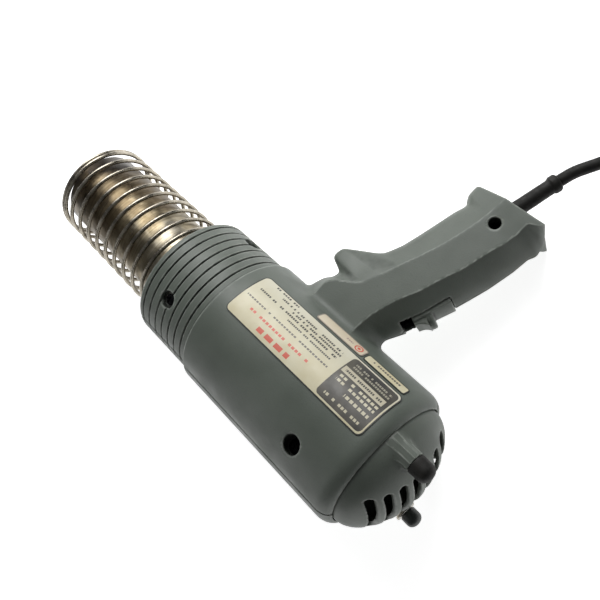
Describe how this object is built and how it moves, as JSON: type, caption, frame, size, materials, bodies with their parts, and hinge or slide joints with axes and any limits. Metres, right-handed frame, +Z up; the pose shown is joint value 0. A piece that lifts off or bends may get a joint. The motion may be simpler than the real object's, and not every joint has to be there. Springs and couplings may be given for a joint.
{
  "type": "heat gun",
  "caption": "Pistol-grip electric heat gun lying on its side: split housing, slotted rear air dial, ribbed collar, steel outlet tube in a spring guard, slide switch, coiled mains cord.",
  "frame": {"origin": "bottom centre of the box of the gun without its free cord, on the surface that it lies on", "axes": "+X along the barrel to the outlet, +Z up from the surface, +Y from the grip's end to the barrel's top side"},
  "size_m": [0.3398, 0.2956, 0.082],
  "materials": {
    "housing_plastic": "moulded grey-green, matte with soft grain",
    "dark_plastic": "dark grey moulded plastic",
    "black_rubber": "matte black",
    "bright_steel": "drawn wire, satin",
    "heated_steel": "rolled, heat tinted towards the outlet",
    "black_steel": "black oxide",
    "motor_steel": "laminated steel",
    "copper": "turned copper",
    "brass": "satin",
    "resistance_wire": "oxidised resistance wire",
    "ceramic_white": "unglazed",
    "mica_brown": "pressed mica",
    "carbon": "matte black",
    "label_foil": "printed foil, satin",
    "wire_sleeving": "woven sleeving"
  },
  "bodies": {
    "gun": {"right_housing": "housing_plastic", "left_housing": "housing_plastic", "rear_housing_screw": "black_steel", "grip_housing_screw": "black_steel", "tube_clamp_screw_1": "black_steel", "tube_clamp_screw_2": "black_steel", "tube_clamp_screw_3": "black_steel", "tube_clamp_screw_4": "black_steel", "main_label": "label_foil", "rating_label": "label_foil", "inspection_label": "label_foil", "intake_plate": "dark_plastic", "outlet_tube": "heated_steel", "spring_guard": "bright_steel", "heater_mount_ring": "ceramic_white", "heater_former": "mica_brown", "heating_coil": "resistance_wire", "heater_sleeve": "mica_brown", "terminal_disc": "ceramic_white", "thermal_cutout": "dark_plastic", "motor_stator": "motor_steel", "carbon_brush_right": "carbon", "carbon_brush_left": "carbon", "motor_bracket_rear": "motor_steel", "motor_bracket_front": "motor_steel", "bearing_rear": "brass", "bearing_front": "brass", "air_duct": "dark_plastic", "power_switch": "dark_plastic", "cord_boot": "black_rubber", "cord_inner_end": "black_rubber", "terminal_block": "ceramic_white", "cord_clamp": "dark_plastic", "lead_terminal_to_switch": "wire_sleeving", "lead_switch_to_motor": "wire_sleeving", "lead_switch_to_heater": "wire_sleeving", "cord_lead": "black_rubber", "cord_coil": "black_rubber", "cord_tail": "black_rubber", "coil_tie": "dark_plastic", "plug_body": "black_rubber", "plug_blade_right": "brass", "plug_blade_left": "brass"},
    "rotor": {"motor_shaft": "bright_steel", "armature": "motor_steel", "commutator": "copper", "fan": "dark_plastic"},
    "dial": {"intake_dial": "housing_plastic", "post_tip": "black_rubber", "lock_washer": "bright_steel"},
    "knob": {"lock_knob": "dark_plastic"},
    "slider": {"switch_slider": "housing_plastic"},
    "actuator": {"switch_actuator": "carbon"}
  },
  "joints": [
    {"name": "fan_spin", "type": "hinge", "parent": "gun", "child": "rotor", "pos_m": [-0.0765, 0.06139, 0.041], "axis": [1, 0, 0], "continuous": true},
    {"name": "dial_turn", "type": "hinge", "parent": "gun", "child": "dial", "pos_m": [-0.1165, 0.06139, 0.041], "axis": [1, 0, 0], "range_deg": [-24, 66]},
    {"name": "knob_turn", "type": "hinge", "parent": "dial", "child": "knob", "pos_m": [-0.1365, 0.07873, 0.0153], "axis": [1, 0, 0], "range_deg": [-90, 180]},
    {"name": "switch_slide", "type": "slide", "parent": "gun", "child": "slider", "axis": [0.4003, 0.9024, 0.1591], "range_m": [0, 0.0042]},
    {"name": "actuator_slide", "type": "slide", "parent": "gun", "child": "actuator", "axis": [0.4003, 0.9024, 0.1591], "range_m": [0, 0.0042]}
  ],
  "couplings": [
    {"joint": "actuator_slide", "follows": "switch_slide", "ratio": 1}
  ]
}
